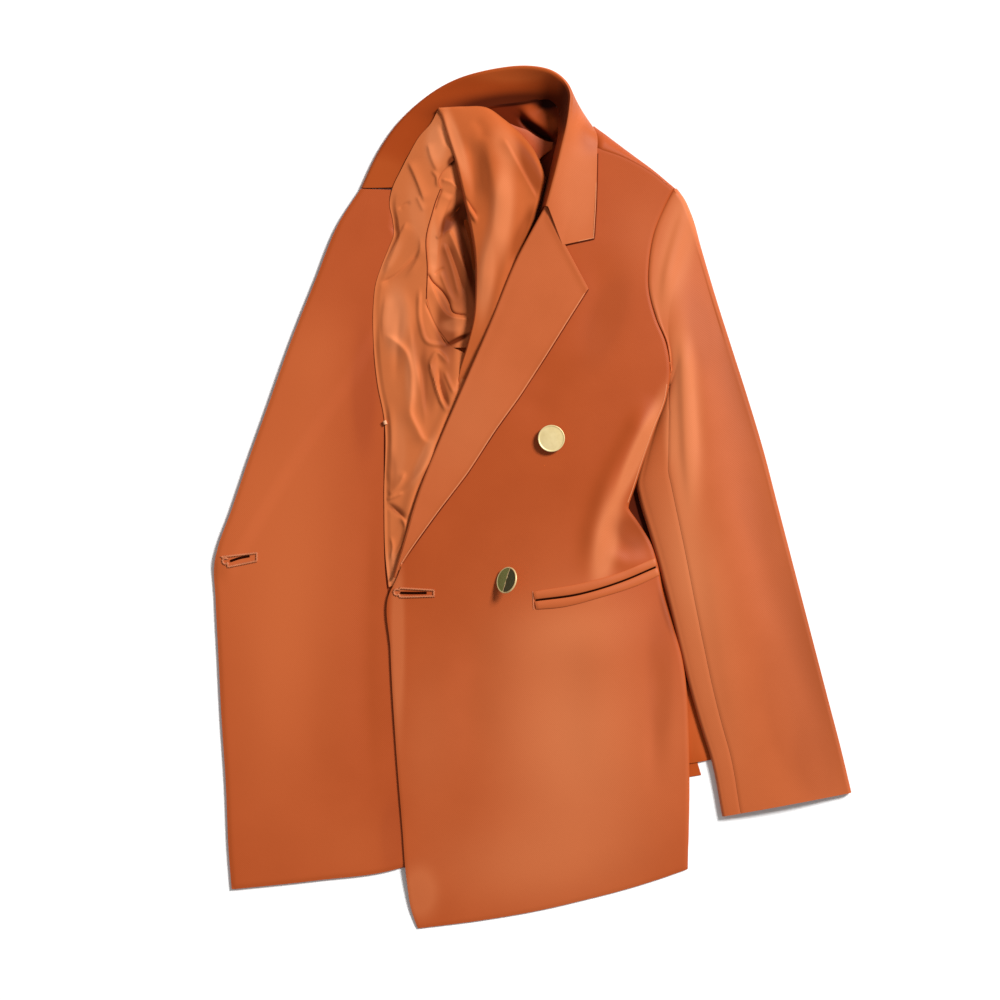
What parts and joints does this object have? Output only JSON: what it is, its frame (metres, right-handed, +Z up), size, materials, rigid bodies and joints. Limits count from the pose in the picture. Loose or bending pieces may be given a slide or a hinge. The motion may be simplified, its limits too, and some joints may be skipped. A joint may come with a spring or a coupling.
{
  "type": "double breasted blazer",
  "caption": "Women's double breasted blazer laid flat on its back, one front buttoned side up and the other opened out to show facing and lining.",
  "frame": {"origin": "middle of the laid blazer's box, on the surface that it lies on", "axes": "+Z up off the surface, +Y towards the collar, +X towards the wearer's left sleeve"},
  "size_m": [0.6108, 0.8274, 0.0463],
  "materials": {
    "suiting": "matte, smooth terracotta crepe suiting",
    "satin": "satin lining, soft sheen",
    "gold": "polished pale gold, worn to brass at the rim"
  },
  "bodies": {
    "root": {"back": "suiting", "back_neck_facing": "suiting", "back_shoulder": "suiting", "button_lower": "gold", "button_upper": "gold", "collar": "suiting", "facing_right": "suiting", "front_left": "suiting", "front_right": "suiting", "lapel_left": "suiting", "lapel_right": "suiting", "lining_body": "satin", "lining_sleeve_right": "satin", "sleeve_left_strip": "suiting", "sleeve_left_top": "suiting", "sleeve_left_turn": "suiting", "sleeve_left_under": "suiting", "sleeve_right": "suiting", "welt_lower": "suiting", "welt_upper": "suiting"}
  },
  "joints": []
}
